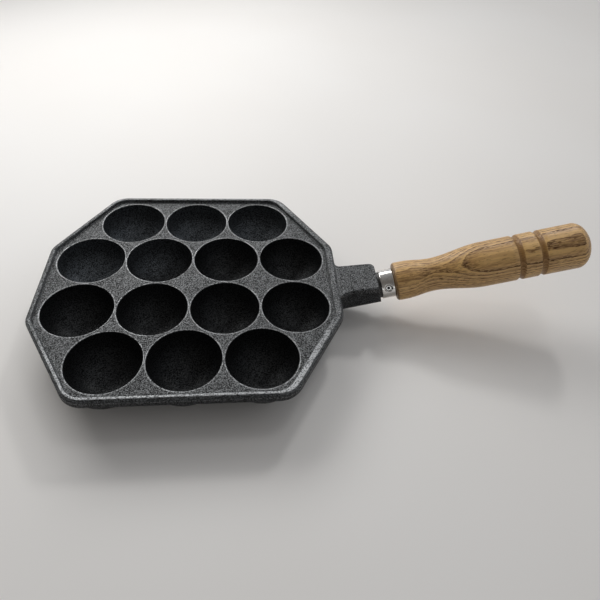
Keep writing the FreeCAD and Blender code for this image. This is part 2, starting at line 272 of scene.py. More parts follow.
class NodeTools:
    """Adds nodes to one tree and links them."""

    def __init__(self, tree: bpy.types.NodeTree) -> None:
        """Take a tree and empty it."""
        self.tree = tree
        tree.nodes.clear()

    def feed(self, socket: Socket, value: Input) -> None:
        """Link an input or set its own value.

        Args:
            socket: The input.
            value: The output to link it to, or a number, a vector or a colour.
        """
        if isinstance(value, Socket):
            self.tree.links.new(value, socket)
        else:
            socket.default_value = value

    def add(self, kind: str, inputs: dict[str | int, Input], **settings: str) -> bpy.types.Node:
        """Add a node.

        Args:
            kind: How its type's name ends.
            inputs: What its inputs get, by their names or numbers.
            settings: The node's own settings.

        Returns:
            The node.
        """
        node = self.tree.nodes.new("ShaderNode" + kind)
        for name, choice in settings.items():
            setattr(node, name, choice)
        for key, value in inputs.items():
            self.feed(node.inputs[key], value)
        return node

    def split(self, vector: Input) -> tuple[Socket, ...]:
        """Return a vector's x, y and z."""
        return tuple(self.add("SeparateXYZ", {"Vector": vector}).outputs)

    def join(self, x: Input, y: Input, z: Input) -> Socket:
        """Return the vector of three numbers."""
        return self.add("CombineXYZ", {"X": x, "Y": y, "Z": z}).outputs["Vector"]

    def stretch(self, vector: Input, scale: tuple[float, float, float]) -> Socket:
        """Multiply a vector by a scale for each axis."""
        return self.add("VectorMath", {0: vector, 1: scale}, operation="MULTIPLY").outputs["Vector"]

    def length(self, vector: Input) -> Socket:
        """Return a vector's length."""
        return self.add("VectorMath", {0: vector}, operation="LENGTH").outputs["Value"]

    def dot(self, a: Input, b: Input) -> Socket:
        """Return the dot product of two vectors."""
        return self.add("VectorMath", {0: a, 1: b}, operation="DOT_PRODUCT").outputs["Value"]

    def math(self, operation: str, a: Input, b: Input = 0.0, c: Input = 0.0) -> Socket:
        """Return the result of a Math node."""
        return self.add("Math", {0: a, 1: b, 2: c}, operation=operation).outputs["Value"]

    def times(self, *factors: Input) -> Socket:
        """Return the product of some numbers."""
        return reduce(lambda a, b: self.math("MULTIPLY", a, b), factors)

    def most(self, *values: Input) -> Socket:
        """Return the largest of some numbers."""
        return reduce(lambda a, b: self.math("MAXIMUM", a, b), values)

    def less(self, a: Input, b: Input) -> Socket:
        """Return a number less another."""
        return self.math("SUBTRACT", a, b)

    def hold(self, value: Input, low: float, high: float) -> Socket:
        """Keep a number between two others."""
        return self.math("MINIMUM", self.math("MAXIMUM", value, low), high)

    def raise_by(self, base: Input, value: Input, share: Input) -> Socket:
        """Return a base number plus a share of a value."""
        return self.math("MULTIPLY_ADD", value, share, base)

    def fade(self, value: Input, *ramps: Ramp) -> Socket:
        """Find the level of a value on a ramp.

        Args:
            value: The value.
            ramps: The ramp, or several.

        Returns:
            The level, or the product of the levels on all ramps.
        """
        levels = []
        for ramp in ramps:
            inputs = {0: value, 1: ramp.start, 2: ramp.end, 3: ramp.before, 4: ramp.after}
            node = self.add("MapRange", inputs, interpolation_type="SMOOTHSTEP")
            levels.append(node.outputs["Result"])
        return self.times(*levels)

    def mix(self, factor: Input, a: Input, b: Input) -> Socket:
        """Return a blend of two colours."""
        inputs = {"Factor": factor, "A": a, "B": b}
        return self.add("Mix", inputs, data_type="RGBA").outputs["Result"]

    def noise(self, place: Input, pattern: Pattern) -> Socket:
        """Return noise.

        Args:
            place: Where it is read.
            pattern: What it looks like.

        Returns:
            Its level, from 0 to 1.
        """
        if pattern.squeeze is not None:
            place = self.stretch(place, pattern.squeeze)
        inputs = {"Vector": place, "Scale": 1 / pattern.size, "Detail": pattern.detail,
                  "Roughness": pattern.roughness}
        return self.add("TexNoise", inputs).outputs["Fac"]

    def bump(self, height: Input, distance: float, below: Socket | None = None) -> Socket:
        """Return the normal of a raised surface.

        Args:
            height: How high it stands, as a share of the distance.
            distance: The height that 1 stands for.
            below: The normal of the surface that it is raised from, if that isn't plain.

        Returns:
            The normal.
        """
        node = self.add("Bump", {"Height": height, "Distance": distance, "Strength": 1.0})
        if below is not None:
            self.feed(node.inputs["Normal"], below)
        return node.outputs["Normal"]


class Shader(NodeTools):
    """One material's node tree around a Principled shader."""

    def __init__(self, name: str) -> None:
        """Start the tree of a new material.

        Args:
            name: The material's name.
        """
        self.material = bpy.data.materials.new(name)
        self.material.use_nodes = True
        super().__init__(self.material.node_tree)
        self.surface = self.add("BsdfPrincipled", {})
        self.add("OutputMaterial", {"Surface": self.surface.outputs["BSDF"]})

    def finish(self, **values: Input) -> Material:
        """Feed the Principled shader's inputs, with underscores for spaces; return the material."""
        for name, value in values.items():
            self.feed(self.surface.inputs[name.replace("_", " ")], value)
        return self.material

    def place(self) -> Socket:
        """Return the object coordinates."""
        return self.add("TexCoord", {}).outputs["Object"]

    def local(self, origin: Vector, turn: Euler) -> Socket:
        """Return coordinates measured from an origin along turned axes."""
        inputs = {"Vector": self.place(), "Location": origin, "Rotation": turn}
        return self.add("Mapping", inputs, vector_type="TEXTURE").outputs["Vector"]

    def on_handle(self, handle: HandleLayout) -> Socket:
        """Return handle coordinates."""
        return self.local(handle.start, Euler((0.0, -handle.pitch, 0.0)))

    def on_pin(self, handle: HandleLayout) -> Socket:
        """Return coordinates whose z runs outwards along the pin."""
        pin = handle.pin_placing
        return self.local(pin.translation, pin.to_euler())


def grey(level: float, warmth: float = 0.0) -> Colour:
    """Return a near-neutral colour, warmer or cooler than grey."""
    return (level * (1 + warmth), level, level * (1 - warmth), 1.0)


# ---- Finishes ----
@dataclass(frozen=True)
class IronZones:
    """Where a point of the casting lies, and how far it belongs to each zone."""

    place: Socket
    along: Socket
    across: Socket
    height: Socket
    grit: Socket
    lump: Socket
    grain: Socket
    in_cup: Socket
    lip: Socket
    crest: Socket
    rim_top: Socket
    slope: Socket
    side: Socket
    flanks: Socket
    wall: Socket
    rub_and_highlight: Socket
    smooth: Socket


@dataclass(frozen=True)
class CastIron:
    """Sand-cast iron: gritty and grey on the faces, seasoned black in the cups.

    Heights count from the web's face; the crest's and the rim top's are shares of the rim's.
    """

    layout: PlateLayout

    # The sand's grain, from its pits to its peaks.
    grit: Pattern = Pattern(0.68 * MM, 3.0, 0.6)
    lumps: Pattern = Pattern(4.5 * MM)
    lump_share: float = 0.1
    pit: Colour = grey(0.003, -0.03)
    face: Colour = grey(0.019, -0.05)
    peak: Colour = grey(0.125, -0.05)
    face_grain: Ramp = Ramp(0.40, 0.51)
    peak_grain: Ramp = Ramp(0.51, 0.62)

    # The cups: black seasoning with grey specks, and a painted sheen that greys them towards the
    # far left and towards their bottoms.
    cup_edge: Ramp = Ramp(0.5 * MM, 1.4 * MM, 1.0, 0.0)
    cup_top: Ramp = Ramp(-1.0 * MM, -0.3 * MM, 1.0, 0.0)
    bottom_sheen: Ramp = Ramp(-18.0 * MM, -7.0 * MM, 1.0, 0.25)
    seasoned: Colour = grey(0.004, -0.05)
    speck_and_sheen_grey: Colour = grey(0.020, -0.08)
    sheen_grey: Colour = grey(0.165, -0.12)
    slant: float = -0.4
    sheen_reach: Ramp = Ramp(26.0 * MM, 50.0 * MM)
    specks: Ramp = Ramp(0.40, 0.62)

    # The cups' lips and the rim's crest, painted with a highlight: a light grey line along them,
    # strongest along the near crest and weaker along the far one.
    highlight_grey: Colour = grey(0.66, -0.03)
    highlight_share: float = 0.8
    lip_out: float = 0.4 * MM
    lip_width: Ramp = Ramp(0.1 * MM, 0.55 * MM, 1.0, 0.0)
    lip_height: Ramp = Ramp(-0.7 * MM, -0.3 * MM)
    lip_highlight: float = 0.6
    crest_height: Ramp = Ramp(0.96, 0.998)
    near_reach: float = 1.25
    near_rub_and_highlight: Range = (1.0, 0.1)
    far_reach: float = 1.3
    far_rub_and_highlight: Range = (0.1, 0.45)
    rub: Ramp = Ramp(0.36, 0.60, 0.15, 1.0)

    # The rim's slopes and the plate's outer side. Painted shade: the rim's inner slopes at the near
    # and far sides and the plate's outer side are coloured darker than its face. Painted light: the
    # inner slopes at the left and right ends take the lighter peak grey.
    plate_end: Ramp = Ramp(-0.5 * MM, 0.5 * MM, 1.0, 0.0)
    rim_top_height: Ramp = Ramp(0.6, 0.8)
    slope_height: Ramp = Ramp(0.25 * MM, 0.5 * MM)
    side_height: Ramp = Ramp(-0.6 * MM, -0.3 * MM, 1.0, 0.0)
    shaded: Colour = grey(0.034, -0.05)
    outer_side_shade: Colour = grey(0.013, -0.05)
    wall_share: float = 0.75
    end_slope_share: float = 0.7
    smooth_rim: float = 0.7

    # How rough and how bright the surface is.
    rough_grain: Ramp = Ramp(0.40, 0.60, 0.50, 0.34)
    wall_rough: float = 0.12
    smooth_rough: float = -0.14
    bright_grain: Ramp = Ramp(0.39, 0.58, 0.10, 1.0)
    boss_bright: Ramp = Ramp(0.0, MM, 1.0, 0.9)
    rim_bright: float = 0.15
    wall_bright: float = -0.40
    cup_bright: float = -0.6
    sheen_tint: Colour = (0.95, 0.98, 1.0, 1.0)

    # Its relief: lumps, grit, and the cutter's rings in the cups.
    lump_height: float = 0.12 * MM
    grit_height: float = 0.48 * MM
    smooth_grit: float = -0.8
    cup_grit: float = -0.5
    ring_step: float = 1.3 * MM
    ring_share: float = 0.08
    ring_patches: Pattern = Pattern(2.0 * MM)
    ring_breaks: Ramp = Ramp(0.45, 0.6)

    def cup_distances(self, shader: Shader, place: Input) -> tuple[Socket, Socket]:
        """Measure how far a point is from the nearest cup.

        Args:
            shader: The tree to add to.
            place: The point, in the model's frame.

        Returns:
            The distance from the nearest cup's upright axis, and from its round centre.
        """
        plate = self.layout
        x, y, z = shader.split(place)
        column = shader.math("DIVIDE", shader.less(x, plate.middle_x), plate.cup_pitch)
        half_row = plate.inner_cups / 2
        inner = shader.hold(shader.math("FLOOR", column), -half_row, half_row - 1)
        inner = shader.less(column, shader.math("ADD", inner, 0.5))
        last = (plate.outer_cups - 1) / 2
        outer = shader.less(column, shader.hold(shader.math("ROUND", column), -last, last))
        away = shader.math("ABSOLUTE", y)
        depth = shader.less(z, plate.cup_centre_z)
        flat = []
        deep = []
        for offset, row in ((inner, plate.inner_row), (outer, plate.outer_row)):
            across = shader.times(offset, plate.cup_pitch)
            sideways = shader.less(away, row)
            flat.append(shader.length(shader.join(across, sideways, 0.0)))
            deep.append(shader.length(shader.join(across, sideways, depth)))
        return shader.math("MINIMUM", *flat), shader.math("MINIMUM", *deep)

    def zones(self, shader: Shader) -> IronZones:
        """Find the zones of the casting.

        Args:
            shader: The tree to add to.

        Returns:
            The zones.
        """
        plate = self.layout
        top = plate.web_top
        place = shader.place()
        along, across, height = shader.split(place)
        axis_distance, centre_distance = self.cup_distances(shader, place)
        grit = shader.noise(place, self.grit)
        lump = shader.noise(place, self.lumps)
        grain = shader.raise_by(shader.times(grit, 1 - self.lump_share), lump, self.lump_share)

        in_cup = shader.times(shader.fade(centre_distance, self.cup_edge.moved(plate.mouth_radius)),
                              shader.fade(height, self.cup_top.moved(top)))
        off_lip = shader.less(axis_distance, plate.mouth_radius + self.lip_out)
        lip = shader.times(shader.fade(shader.math("ABSOLUTE", off_lip), self.lip_width),
                           shader.fade(height, self.lip_height.moved(top)))
        on_plate = shader.fade(along, self.plate_end.moved(plate.boss_start))
        crest, rim_top, slope = (
            shader.times(shader.fade(height, ramp), on_plate)
            for ramp in (self.crest_height.moved(top, plate.rim_height),
                         self.rim_top_height.moved(top, plate.rim_height),
                         self.slope_height.moved(top))
        )
        side = shader.fade(height, self.side_height.moved(top))
        away = shader.math("ABSOLUTE", across)
        flanks = shader.fade(away, Ramp(plate.inner_row, plate.outer_row))
        # The walls that get painted shade: the rim's inner slopes at the near and far sides, and
        # the plate's outer side.
        wall = shader.times(shader.most(slope, side), shader.less(1.0, rim_top))
        wall = shader.times(wall, shader.less(1.0, in_cup), shader.most(flanks, side))

        # How much of the crest's painted highlight and smoothness each side gets: most at the near
        # side, some at the far side.
        near = Ramp(-self.near_reach * plate.outer_row, -plate.inner_row, *self.near_rub_and_highlight)
        far = Ramp(plate.outer_row, self.far_reach * plate.outer_row, *self.far_rub_and_highlight)
        rub_and_highlight = shader.most(shader.fade(across, near), shader.fade(across, far))
        smooth = shader.most(shader.times(rim_top, rub_and_highlight, self.smooth_rim), lip)
        return IronZones(place, along, across, height, grit, lump, grain, in_cup, lip, crest,
                         rim_top, slope, side, flanks, wall, rub_and_highlight, smooth)

    def colour(self, shader: Shader, zones: IronZones) -> Socket:
        """Return the casting's colour, with painted shade on its walls, a painted highlight along
        its lips and crest, and a painted sheen in its cups.

        Args:
            shader: The tree to add to.
            zones: The casting's zones.

        Returns:
            The colour.
        """
        colour = shader.mix(shader.fade(zones.grain, self.face_grain), self.pit, self.face)
        colour = shader.mix(shader.fade(zones.grain, self.peak_grain), colour, self.peak)
        # Painted shade: the rim's inner slopes at the near and far sides and the plate's outer side
        # take darker colours.
        wall_colour = shader.mix(zones.side, self.shaded, self.outer_side_shade)
        colour = shader.mix(shader.times(zones.wall, self.wall_share), colour, wall_colour)
        # Painted light: the rim's inner slopes at the left and right ends take the lighter peak
        # grey, as if lit.
        at_ends = shader.less(1.0, shader.most(zones.flanks, zones.rim_top))
        lit_end_slope = shader.times(zones.slope, at_ends)
        colour = shader.mix(shader.times(lit_end_slope, self.end_slope_share), colour, self.peak)
        # Painted highlight: light grey along the cups' lips and the rim's crest, broken up by the
        # grit.
        painted_highlight = shader.most(shader.times(zones.lip, self.lip_highlight),
                           shader.times(zones.crest, zones.rub_and_highlight))
        painted_highlight = shader.times(painted_highlight, shader.fade(zones.grit, self.rub))
        colour = shader.mix(shader.times(painted_highlight, self.highlight_share), colour, self.highlight_grey)

        # Painted sheen: the cups grey towards the far left and towards their bottoms; their upper
        # walls stay nearly black.
        from_middle = shader.less(zones.along, self.layout.middle_x)
        slanted = shader.raise_by(zones.across, from_middle, self.slant)
        specks = shader.fade(zones.grain, self.specks)
        whole = shader.mix(specks, self.seasoned, self.speck_and_sheen_grey)
        sheened = shader.mix(specks, self.speck_and_sheen_grey, self.sheen_grey)
        seasoning_and_sheen = shader.mix(shader.fade(slanted, self.sheen_reach), whole, sheened)
        bottom = shader.fade(zones.height, self.bottom_sheen.moved(self.layout.web_top))
        seasoning_and_sheen = shader.mix(bottom, self.seasoned, seasoning_and_sheen)
        return shader.mix(zones.in_cup, colour, seasoning_and_sheen)

    def brightness(self, shader: Shader, zones: IronZones) -> Socket:
        """Return how strongly the surface mirrors the light.

        Args:
            shader: The tree to add to.
            zones: The casting's zones.

        Returns:
            The specular level, lowest in pits, on walls and in the cups.
        """
        bright = shader.fade(zones.grain, self.bright_grain)
        rubbed = shader.times(zones.rim_top, zones.rub_and_highlight)
        bright = shader.raise_by(bright, rubbed, self.rim_bright)
        boss = shader.fade(zones.along, self.boss_bright.moved(self.layout.boss_start))
        wall = shader.raise_by(1.0, zones.wall, self.wall_bright)
        return shader.times(bright, boss, wall, shader.raise_by(1.0, zones.in_cup, self.cup_bright))

    def relief(self, shader: Shader, zones: IronZones) -> Socket:
        """Return the normal of the raised surface.

        Args:
            shader: The tree to add to.
            zones: The casting's zones.

        Returns:
            The normal.
        """
        rings = shader.math("SINE", shader.times(zones.height, math.tau / self.ring_step))
        breaks = shader.fade(shader.noise(zones.place, self.ring_patches), self.ring_breaks)
        rings = shader.times(rings, breaks, zones.in_cup)
        share = shader.raise_by(1.0, zones.smooth, self.smooth_grit)
        share = shader.raise_by(share, zones.in_cup, self.cup_grit)
        height = shader.raise_by(shader.times(zones.grit, share), rings, self.ring_share)
        return shader.bump(height, self.grit_height, shader.bump(zones.lump, self.lump_height))

    def material(self) -> Material:
        """Build the material.

        Returns:
            The material.
        """
        shader = Shader("cast_iron_gritty")
        zones = self.zones(shader)
        rough = shader.fade(zones.grain, self.rough_grain)
        rough = shader.raise_by(rough, zones.wall, self.wall_rough)
        rough = shader.raise_by(rough, zones.smooth, self.smooth_rough)
        return shader.finish(
            Base_Color=self.colour(shader, zones), Roughness=rough,
            Specular_IOR_Level=self.brightness(shader, zones),
            Normal=self.relief(shader, zones), Specular_Tint=self.sheen_tint)


@dataclass(frozen=True)
class TurnedAsh:
    """Oiled ash, flat sawn, whose growth layers face up and forwards."""

    handle: HandleLayout

    # The growth layers round a pith below the handle, with a knoll near the waist.
    facing: float = math.radians(59.0)
    pith_depth: float = 38.0 * MM
    first_layer: float = 12.54 * MM
    oval_tip: float = 52.0 * MM
    rise: float = 0.0155
    outer_width: float = 2.22 * MM
    inner_width: float = 1.25 * MM
    spare_layers: float = 10.0
    knoll_at: float = 34.0 * MM
    knoll_half: float = 20.0 * MM
    knoll_height: float = 1.27 * MM
    knoll_layers: Ramp = Ramp(-3.3 * MM, -2.4 * MM)
    waver: Pattern = Pattern(12.0 * MM, 1.5, squeeze=(0.35, 1.0, 1.0))
    waver_width: float = 0.5 * MM
    ripple: Pattern = Pattern(2.2 * MM, squeeze=(0.3, 1.0, 1.0))
    ripple_width: float = 0.7 * MM

    # One layer's parts: its first line, its open early wood and its firm late wood.
    line: tuple[Ramp, Ramp] = (Ramp(0.0, 0.03), Ramp(0.06, 0.18, 1.0, 0.0))
    early: tuple[Ramp, Ramp] = (Ramp(0.0, 0.04), Ramp(0.14, 0.48, 1.0, 0.0))
    late: tuple[Ramp, Ramp] = (Ramp(0.55, 0.9), Ramp(0.98, 1.0, 1.0, 0.3))

    # Streaks, bands and pores.
    streaks: Pattern = Pattern(0.75 * MM, 3.0, 0.65, (0.06, 1.0, 1.0))
    bands: Pattern = Pattern(2.8 * MM, squeeze=(0.08, 1.0, 1.0))
    pores: Pattern = Pattern(0.7 * MM, 1.0, squeeze=(0.24, 1.0, 1.0))
    patches: Pattern = Pattern(5.0 * MM, 1.0, squeeze=(0.3, 1.0, 1.0))
    light_streaks: Ramp = Ramp(0.38, 0.62)
    fine_streaks: Ramp = Ramp(0.40, 0.56, 0.85, 0.25)
    mid_bands: Ramp = Ramp(0.42, 0.66, 0.0, 0.45)
    dots: Ramp = Ramp(0.49, 0.54)
    stray_dots: Ramp = Ramp(0.60, 0.66)
    strong_patches: Ramp = Ramp(0.36, 0.56, 0.5, 1.0)
    plain_past: float = 8.0 * MM
    plain_strength: Range = (0.45, 1.0)
    late_share: float = 0.7
    line_dots: float = 0.42
    line_base: float = 0.24
    stray_share: float = 0.4
    pore_share: float = 0.9
    gold: Colour = (0.78, 0.49, 0.178, 1.0)
    light: Colour = (0.67, 0.402, 0.136, 1.0)
    mid: Colour = (0.385, 0.205, 0.060, 1.0)
    brown: Colour = (0.200, 0.098, 0.032, 1.0)
    pore: Colour = (0.075, 0.032, 0.010, 1.0)

    # The grooves, coloured darker; the shoulder's face, darker end grain that drinks the oil, with
    # painted shade; and the tenon, painted near black as the shade in the gap between the boss and
    # the sleeve.
    grooves: tuple[float, ...] = (87.1 * MM, 100.3 * MM)
    groove_half: float = 2.0 * MM
    groove_edge: Ramp = Ramp(-0.5 * MM, 0.1 * MM, 1.0, 0.0)
    groove_dark: Colour = (0.185, 0.080, 0.012, 1.0)
    groove_dark_share: float = 0.70
    end_grain_and_shade: Ramp = Ramp(0.7 * MM, 1.8 * MM, 0.6, 0.0)
    tenon: Ramp = Ramp(-0.6 * MM, -0.4 * MM, 1.0, 0.0)
    tenon_shade: Colour = (0.010, 0.008, 0.006, 1.0)

    # How rough, how bright and how deep the surface is.
    rough_streaks: Ramp = Ramp(0.2, 0.8, 0.50, 0.38)
    bright: float = 0.82
    dull: float = -0.60
    dull_groove: float = 0.6
    streak_height: float = 0.6
    relief: float = 0.06 * MM

    def layer_distance(self, shader: Shader, local: Input) -> Socket:
        """Measure how far a point lies outside the growth layer that ends as the swell's oval.

        Args:
            shader: The tree to add to.
            local: The point in handle coordinates.

        Returns:
            The distance, wavering as real layers do.
        """
        along, side, up = shader.split(local)
        sine = math.sin(self.facing)
        cosine = math.cos(self.facing)
        towards = shader.less(shader.times(up, sine), shader.times(side, cosine))
        aside = shader.math("ADD", shader.times(side, sine), shader.times(up, cosine))
        from_pith = shader.join(shader.math("ADD", towards, self.pith_depth), aside, 0.0)
        layer = shader.less(shader.length(from_pith), self.pith_depth + self.first_layer)
        layer = shader.raise_by(layer, shader.less(along, self.oval_tip), self.rise)
        top = self.knoll_at
        knoll = shader.fade(along, Ramp(top - self.knoll_half, top),
                            Ramp(top, top + self.knoll_half, 1.0, 0.0))
        knoll = shader.times(knoll, shader.fade(layer, self.knoll_layers))
        layer = shader.raise_by(layer, knoll, self.knoll_height)
        for pattern, width in ((self.waver, self.waver_width), (self.ripple, self.ripple_width)):
            layer = shader.raise_by(layer, shader.less(shader.noise(local, pattern), 0.5), width)
        return layer

    def layer_phase(self, shader: Shader, local: Input) -> Socket:
        """Return how far through its growth layer a point lies.

        Args:
            shader: The tree to add to.
            local: The point in handle coordinates.

        Returns:
            A number from 0 to 1.
        """
        layer = self.layer_distance(shader, local)
        outwards = shader.math("DIVIDE", shader.math("MAXIMUM", layer, 0.0), self.outer_width)
        inwards = shader.math("DIVIDE", shader.math("MINIMUM", layer, 0.0), self.inner_width)
        layers = shader.math("ADD", outwards, inwards)
        return shader.math("FRACT", shader.math("ADD", layers, self.spare_layers))

    def groove_mask(self, shader: Shader, along: Input) -> Socket:
        """Mask the grooves, which are coloured darker.

        Args:
            shader: The tree to add to.
            along: The distance along the handle.

        Returns:
            The mask, 1 in the grooves.
        """
        mask = 0.0
        edge = self.groove_edge.moved(self.groove_half)
        for groove in self.grooves:
            offset = shader.math("ABSOLUTE", shader.less(along, groove))
            mask = shader.most(mask, shader.fade(offset, edge))
        return mask

    def material(self) -> Material:
        """Build the material.

        Returns:
            The material.
        """
        shader = Shader("ash_turned")
        start = self.handle.grip_start
        local = shader.on_handle(self.handle)
        along = shader.split(local)[0]
        phase = self.layer_phase(shader, local)
        line = shader.fade(phase, *self.line)
        early = shader.fade(phase, *self.early)
        late = shader.fade(phase, *self.late)
        streak = shader.noise(local, self.streaks)
        band = shader.noise(local, self.bands)
        pores = shader.noise(local, self.pores)
        patch = shader.noise(local, self.patches)
        dots = shader.fade(pores, self.dots)
        plain = Ramp(start + self.plain_past, self.knoll_at + self.plain_past, *self.plain_strength)
        plain = shader.fade(along, plain)
        strength = shader.times(shader.fade(patch, self.strong_patches), plain)

        colour = shader.mix(shader.fade(streak, self.light_streaks), self.mid, self.light)
        colour = shader.mix(shader.times(late, self.late_share), colour, self.gold)
        colour = shader.mix(shader.fade(band, self.mid_bands), colour, self.mid)
        open_grain = shader.times(early, strength)
        fine = shader.fade(streak, self.fine_streaks)
        colour = shader.mix(shader.times(open_grain, fine), colour, self.brown)
        dotted = shader.raise_by(self.line_base, dots, self.line_dots)
        outline = shader.times(shader.times(line, plain), dotted)
        stray = shader.times(shader.fade(pores, self.stray_dots), self.stray_share)
        dark = shader.most(shader.times(open_grain, dots), outline, stray)
        colour = shader.mix(shader.times(dark, self.pore_share), colour, self.pore)

        # The grooves are coloured darker and shine less.
        groove_dark = self.groove_mask(shader, along)
        colour = shader.mix(shader.times(groove_dark, self.groove_dark_share), colour, self.groove_dark)
        # The shoulder's face: darker end grain that drinks the oil, with painted shade.
        colour = shader.mix(shader.fade(along, self.end_grain_and_shade.moved(start)), colour, self.pore)
        # Painted shade: the tenon, seen in the gap between the boss and the sleeve, is near black.
        colour = shader.mix(shader.fade(along, self.tenon.moved(start)), colour, self.tenon_shade)

        relief = shader.raise_by(shader.times(streak, self.streak_height), dark, -1.0)
        dull = shader.most(dark, shader.times(groove_dark, self.dull_groove))
        return shader.finish(
            Base_Color=colour, Roughness=shader.fade(streak, self.rough_streaks),
            Normal=shader.bump(relief, self.relief),
            Specular_IOR_Level=shader.raise_by(self.bright, dull, self.dull))


@dataclass(frozen=True)
class PlatedSteel:
    """Bright nickel plating with faint rub marks and turning lines, and painted shade in the dish
    round the nail.
    """

    handle: HandleLayout
    bright: Colour = (0.74, 0.725, 0.70, 1.0)
    rubbed: Colour = grey(0.55, 0.03)
    rub: Ramp = Ramp(0.35, 0.75)
    smears: Pattern = Pattern(2.5 * MM, 3.0, 0.6)
    rough: Ramp = Ramp(0.3, 0.7, 0.11, 0.22)
    lines: Pattern = Pattern(0.35 * MM, squeeze=(1.0, 0.08, 0.08))
    line_height: float = 0.006 * MM
    darkening: Colour = (0.045, 0.055, 0.058, 1.0)
    dark_edge: Ramp = Ramp(1.7 * MM, 2.3 * MM, 0.9, 0.0)

    def material(self) -> Material:
        """Build the material.

        Returns:
            The material.
        """
        shader = Shader("nickel_plated")
        local = shader.on_handle(self.handle)
        smear = shader.noise(local, self.smears)
        colour = shader.mix(shader.fade(smear, self.rub), self.bright, self.rubbed)
        from_pin = shader.on_pin(self.handle)
        distance = shader.length(shader.stretch(from_pin, (1.0, 1.0, 0.0)))
        outside = shader.fade(shader.split(from_pin)[2], Ramp(0.0, MM))
        # Painted shade: a dark ring in the dish round the nail's head.
        darkening = shader.times(shader.fade(distance, self.dark_edge), outside)
        return shader.finish(
            Base_Color=shader.mix(darkening, colour, self.darkening), Metallic=1.0,
            Roughness=shader.fade(smear, self.rough),
            Normal=shader.bump(shader.noise(local, self.lines), self.line_height))


@dataclass(frozen=True)
class NailSteel:
    """Bright steel whose hollow is black."""

    handle: HandleLayout
    spots: Pattern = Pattern(0.8 * MM, 3.0, 0.6)
    spot_height: float = 0.02 * MM
    bright: Colour = (0.90, 0.90, 0.88, 1.0)
    darkening: Colour = (0.012, 0.014, 0.015, 1.0)
    hollow: float = 0.9 * MM
    dark_edge: float = 0.2 * MM
    rough: Ramp = Ramp(0.3, 0.7, 0.30, 0.20)

    def material(self) -> Material:
        """Build the material.

        Returns:
            The material.
        """
        shader = Shader("nail_steel")
        across = shader.stretch(shader.on_pin(self.handle), (1.0, 1.0, 0.0))
        spots = shader.noise(shader.place(), self.spots)
        # The hollow in the nail's head is coloured black.
        distance = shader.raise_by(shader.length(across), spots, self.dark_edge)
        past_hollow = shader.fade(distance, Ramp(self.hollow, self.hollow + self.dark_edge))
        return shader.finish(
            Base_Color=shader.mix(past_hollow, self.darkening, self.bright), Metallic=1.0,
            Roughness=shader.fade(spots, self.rough), Normal=shader.bump(spots, self.spot_height))


@dataclass(frozen=True)
class DullZinc:
    """Plain zinc plating with grime, for the hidden bolt."""

    spots: Pattern = Pattern(0.8 * MM, 3.0, 0.6)
    spot_height: float = 0.02 * MM
    bright: Colour = (0.62, 0.62, 0.60, 1.0)
    dark: Colour = (0.38, 0.38, 0.36, 1.0)
    darkening: Ramp = Ramp(0.35, 0.65)
    rough: Ramp = Ramp(0.3, 0.7, 0.52, 0.34)

    def material(self) -> Material:
        """Build the material.

        Returns:
            The material.
        """
        shader = Shader("zinc_dull")
        spots = shader.noise(shader.place(), self.spots)
        colour = shader.mix(shader.fade(spots, self.darkening), self.dark, self.bright)
        return shader.finish(
            Base_Color=colour, Metallic=1.0,
            Roughness=shader.fade(spots, self.rough), Normal=shader.bump(spots, self.spot_height))


# ---- Pieces of the handle ----
@dataclass
class Ferrule:
    """Plated sleeve with rolled ends and a dish punched round its nail."""

    handle: HandleLayout
    roll: float = 0.8 * MM
    dish_radius: float = 2.8 * MM
    dish_depth: float = 0.95 * MM
    dish_power: int = 4
    steps_round: int = 384
    steps_along: int = 56
    steps_roll: int = 8

    def outline(self) -> Outline:
        """Draw the sleeve's section.

        Returns:
            Its closed outline, from the inner face round over the outer one.
        """
        h = self.handle
        first = h.tenon_proud
        last = h.grip_start
        inner = h.ferrule_radius - h.ferrule_wall
        centre = h.ferrule_radius - self.roll
        points = [(last, inner), (first, inner)]
        points += arc_points((first + self.roll, centre), self.roll, 180, 90, self.steps_roll)
        points += run(points[-1], (last - self.roll, h.ferrule_radius), self.steps_along)
        points += arc_points((last - self.roll, centre), self.roll, 90, 0, self.steps_roll)[1:]
        return points

    def punch_dish(self, bm: bmesh.types.BMesh) -> None:
        """Press the sleeve's outer face inwards round the nail.

        Args:
            bm: The sleeve, in handle coordinates.
        """
        h = self.handle
        outward = Vector((0.0, -math.cos(h.pin_angle), math.sin(h.pin_angle)))
        middle_of_wall = h.ferrule_radius - 0.5 * h.ferrule_wall
        for vert in bm.verts:
            across = Vector((0.0, vert.co.y, vert.co.z))
            if across.length < middle_of_wall or across.dot(outward) < 0:
                continue
            flat = across - outward * across.dot(outward)
            distance = math.hypot(vert.co.x - h.pin_along, flat.length) / self.dish_radius
            if distance < 1:
                drop = self.dish_depth * (1 - distance ** self.dish_power)
                vert.co -= outward * drop

    def build(self, material: Material) -> None:
        """Make the sleeve.

        Args:
            material: Its finish.
        """
        bm = spin_outline(self.outline(), self.steps_round, closed=True)
        self.punch_dish(bm)
        piece = finish_piece(bm, "ferrule_sleeve", self.handle.placing)
        add_piece(piece, material, "ferrule")


